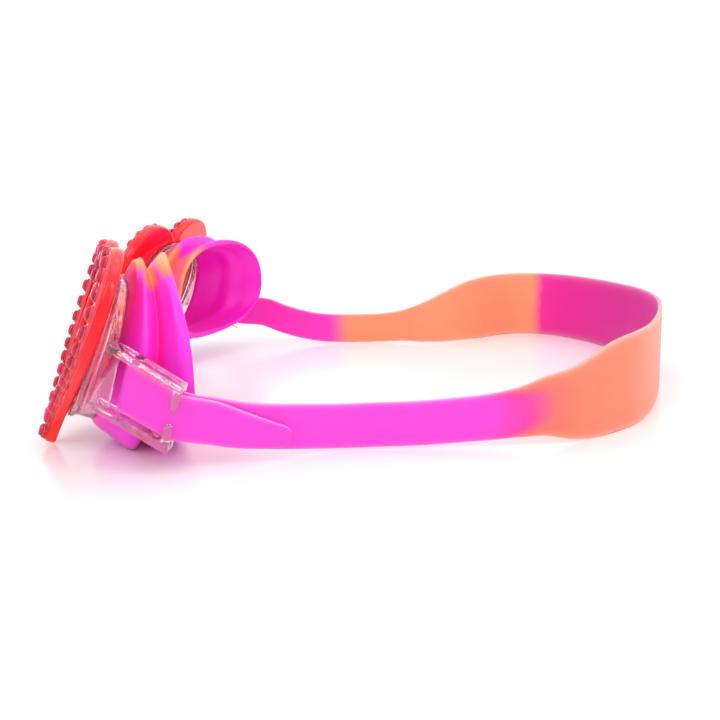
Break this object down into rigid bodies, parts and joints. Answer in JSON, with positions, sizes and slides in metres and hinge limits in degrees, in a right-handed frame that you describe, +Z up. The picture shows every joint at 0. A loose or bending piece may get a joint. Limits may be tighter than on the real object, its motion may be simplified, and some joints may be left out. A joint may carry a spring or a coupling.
{
  "type": "swim goggles",
  "caption": "Children's swim goggles with heart-shaped rhinestone fronts, clear buckle housings, soft two-fold eye seals and a tapered silicone head strap.",
  "frame": {"origin": "middle of the underside, on the surface that the goggles stand on", "axes": "+Z up; -Y the way the lenses face, +Y towards the back of the head strap; +X the wearer's left"},
  "size_m": [0.153, 0.1723, 0.0485],
  "materials": {
    "red_plate": "translucent, glossy",
    "pink_rim": "translucent, glossy",
    "rhinestone": "faceted, mirror-backed",
    "lens": "tinted, polished",
    "clear_plastic": "clear moulded polycarbonate, glossy",
    "seal_silicone": "satin silicone, two-tone",
    "bridge_silicone": "satin silicone",
    "strap_silicone": "satin silicone, two-tone"
  },
  "bodies": {
    "eyepieces": {"heart_plate_left": "red_plate", "heart_plate_right": "red_plate", "stone_rim_left": "pink_rim", "stone_rim_right": "pink_rim", "rhinestones_left": "rhinestone", "rhinestones_right": "rhinestone", "lens_left": "lens", "lens_right": "lens", "lens_housing_left": "clear_plastic", "lens_housing_right": "clear_plastic", "nose_bridge": "bridge_silicone", "strap_fold_left": "strap_silicone", "strap_fold_right": "strap_silicone", "strap_side_left": "strap_silicone", "strap_side_right": "strap_silicone"},
    "strap_loop": {"strap_back": "strap_silicone"},
    "tail_left": {"strap_tail_left": "strap_silicone"},
    "tail_right": {"strap_tail_right": "strap_silicone"},
    "seal_left": {"eye_seal_left": "seal_silicone"},
    "seal_right": {"eye_seal_right": "seal_silicone"}
  },
  "joints": [
    {"name": "strap_adjust", "type": "slide", "parent": "eyepieces", "child": "strap_loop", "axis": [0, 1, 0], "range_m": [-0.01, 0.012], "deforming": ["strap_side_left", "strap_side_right"]},
    {"name": "tail_left_slide", "type": "slide", "parent": "eyepieces", "child": "tail_left", "axis": [-0.2196, 0.9285, -0.2995], "range_m": [-0.012, 0.01], "deforming": ["strap_tail_left"]},
    {"name": "tail_right_slide", "type": "slide", "parent": "eyepieces", "child": "tail_right", "axis": [0.221, 0.9544, -0.2009], "range_m": [-0.012, 0.01], "deforming": ["strap_tail_right"]},
    {"name": "seal_left_press", "type": "slide", "parent": "eyepieces", "child": "seal_left", "axis": [0, -1, 0], "range_m": [0, 0.003], "stiffness_N_per_m": 600, "deforming": ["eye_seal_left"]},
    {"name": "seal_right_press", "type": "slide", "parent": "eyepieces", "child": "seal_right", "axis": [0, -1, 0], "range_m": [0, 0.003], "stiffness_N_per_m": 600, "deforming": ["eye_seal_right"]}
  ],
  "couplings": [
    {"joint": "tail_left_slide", "follows": "strap_adjust", "ratio": -1},
    {"joint": "tail_right_slide", "follows": "strap_adjust", "ratio": -1}
  ]
}
